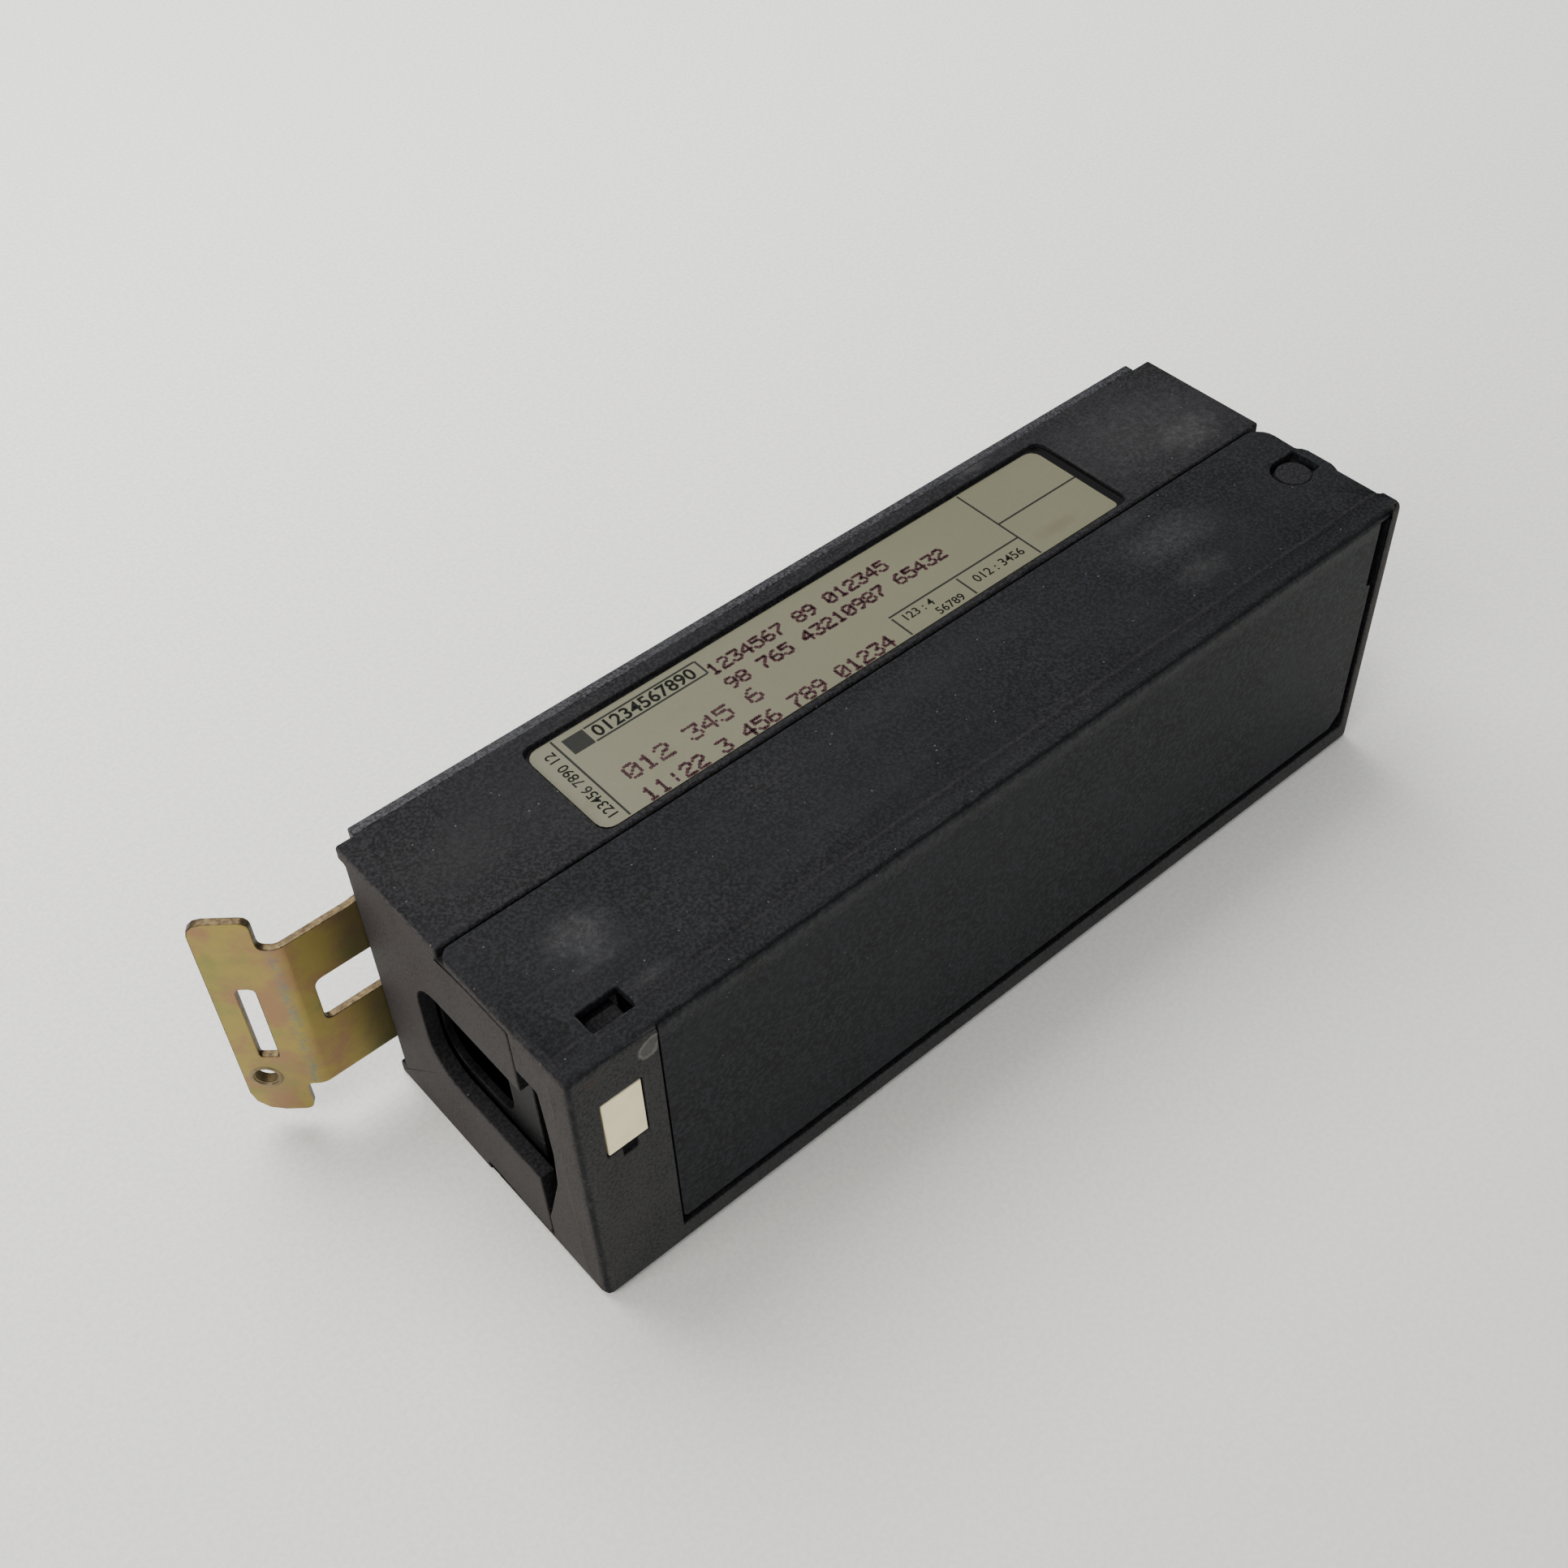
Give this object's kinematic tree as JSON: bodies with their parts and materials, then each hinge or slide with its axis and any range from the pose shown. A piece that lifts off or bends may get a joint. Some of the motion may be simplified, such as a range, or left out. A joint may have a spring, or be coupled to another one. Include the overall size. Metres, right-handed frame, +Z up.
{
  "type": "plc terminal block",
  "caption": "Plug-in field-wiring block for a controller module: long charcoal case with hinged front cover, legend flap, screw terminals and a bent plated cable bracket.",
  "frame": {"origin": "middle of the flat resting wall of the rear housing, on the surface that the block lies on", "axes": "+X along the block from the cable end to the far end, -Y out of the front flap, +Z up from the resting side to the labelled side"},
  "size_m": [0.1822, 0.0588, 0.052],
  "materials": {
    "charcoal_plastic": "fine spark-eroded grain, dusty, lightly scuffed",
    "flap_plastic": "smooth satin",
    "grey_moulding": "moulded satin",
    "white_plastic": "smooth, slightly yellowed",
    "legend_paper": "matt card, printed grid",
    "aged_sticker": null,
    "yellow_passivated_steel": "zinc plated, iridescent yellow passivation",
    "zinc_plated_steel": "bright zinc",
    "nickel_plated_steel": "nickel plated"
  },
  "bodies": {
    "housing": {"rear_housing": "charcoal_plastic", "rating_label": "aged_sticker", "cable_bracket": "yellow_passivated_steel", "cable_guide": "grey_moulding", "terminal_body": "grey_moulding", "number_strip_lower": "white_plastic", "number_strip_upper": "white_plastic", "connector_base": "grey_moulding", "base_screw_1": "zinc_plated_steel", "base_screw_2": "zinc_plated_steel", "base_screw_3": "zinc_plated_steel", "base_screw_4": "zinc_plated_steel", "bracket_screw_lower": "zinc_plated_steel", "bracket_screw_upper": "zinc_plated_steel", "coding_peg_1": "grey_moulding", "coding_peg_2": "grey_moulding", "terminal_screw_01": "nickel_plated_steel", "terminal_screw_02": "nickel_plated_steel", "terminal_screw_03": "nickel_plated_steel", "terminal_screw_04": "nickel_plated_steel", "terminal_screw_05": "nickel_plated_steel", "terminal_screw_06": "nickel_plated_steel", "terminal_screw_07": "nickel_plated_steel", "terminal_screw_08": "nickel_plated_steel", "terminal_screw_09": "nickel_plated_steel", "terminal_screw_10": "nickel_plated_steel", "terminal_screw_11": "nickel_plated_steel", "terminal_screw_12": "nickel_plated_steel", "terminal_screw_13": "nickel_plated_steel", "terminal_screw_14": "nickel_plated_steel", "terminal_screw_15": "nickel_plated_steel", "terminal_screw_16": "nickel_plated_steel", "terminal_screw_17": "nickel_plated_steel", "terminal_screw_18": "nickel_plated_steel", "terminal_screw_19": "nickel_plated_steel", "terminal_screw_20": "nickel_plated_steel", "terminal_screw_21": "nickel_plated_steel", "terminal_screw_22": "nickel_plated_steel", "terminal_screw_23": "nickel_plated_steel", "terminal_screw_24": "nickel_plated_steel", "terminal_screw_25": "nickel_plated_steel", "terminal_screw_26": "nickel_plated_steel", "terminal_screw_27": "nickel_plated_steel", "terminal_screw_28": "nickel_plated_steel", "terminal_screw_29": "nickel_plated_steel", "terminal_screw_30": "nickel_plated_steel", "terminal_screw_31": "nickel_plated_steel", "terminal_screw_32": "nickel_plated_steel"},
    "cover": {"front_cover": "charcoal_plastic", "marker_tile": "white_plastic", "legend_card": "legend_paper"},
    "flap": {"legend_flap": "flap_plastic"},
    "fixing_screw": {"fixing_screw": "nickel_plated_steel", "retaining_ring": "nickel_plated_steel"}
  },
  "joints": [
    {"name": "cover_hinge", "type": "hinge", "parent": "housing", "child": "cover", "pos_m": [0.074, -0.0235, 0.026], "axis": [0, 0, 1], "range_deg": [0, 100]},
    {"name": "flap_hinge", "type": "hinge", "parent": "cover", "child": "flap", "pos_m": [0.0057, -0.03885, 0.05], "axis": [-1, 0, 0], "range_deg": [0, 100]},
    {"name": "fixing_screw_turn", "type": "hinge", "parent": "housing", "child": "fixing_screw", "pos_m": [0.0735, 0.005, 0.026], "axis": [0, 1, 0], "continuous": true}
  ]
}
